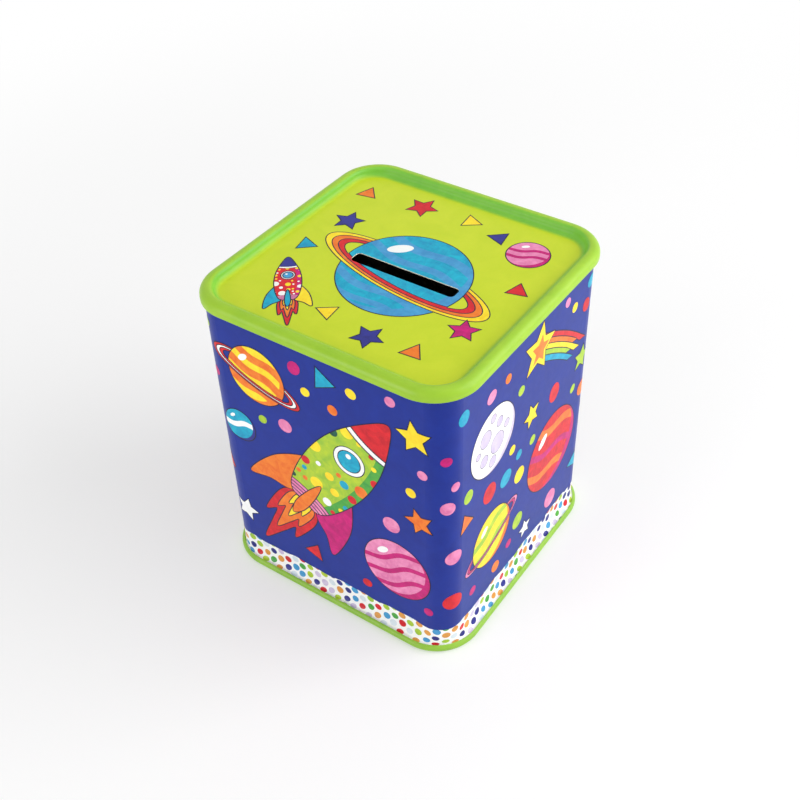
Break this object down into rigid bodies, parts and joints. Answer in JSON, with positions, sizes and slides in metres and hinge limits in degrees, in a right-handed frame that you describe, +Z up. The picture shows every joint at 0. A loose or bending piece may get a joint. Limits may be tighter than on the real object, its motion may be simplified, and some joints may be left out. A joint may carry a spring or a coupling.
{
  "type": "tin money box",
  "caption": "Square printed tinplate money box with rounded corners, a rolled foot seam and a lift-off lid with a coin slot.",
  "frame": {"origin": "centre of the footprint, on the plane that the tin stands on", "axes": "+Z up through the lid, -Y out of the front wall, +X out of the right wall; the coin slot runs along X"},
  "size_m": [0.0862, 0.0862, 0.1002],
  "materials": {
    "printed_body": "printed tinplate, semi-gloss varnish",
    "green_base": "lacquered tinplate, semi-gloss",
    "printed_lid": "printed tinplate, semi-gloss varnish"
  },
  "bodies": {
    "tin": {"body_wall": "printed_body", "base_plate": "green_base"},
    "lid": {"lid": "printed_lid"}
  },
  "joints": [
    {"name": "lid_lift", "type": "slide", "parent": "tin", "child": "lid", "axis": [0, 0, 1], "range_m": [0, 0.06]}
  ]
}
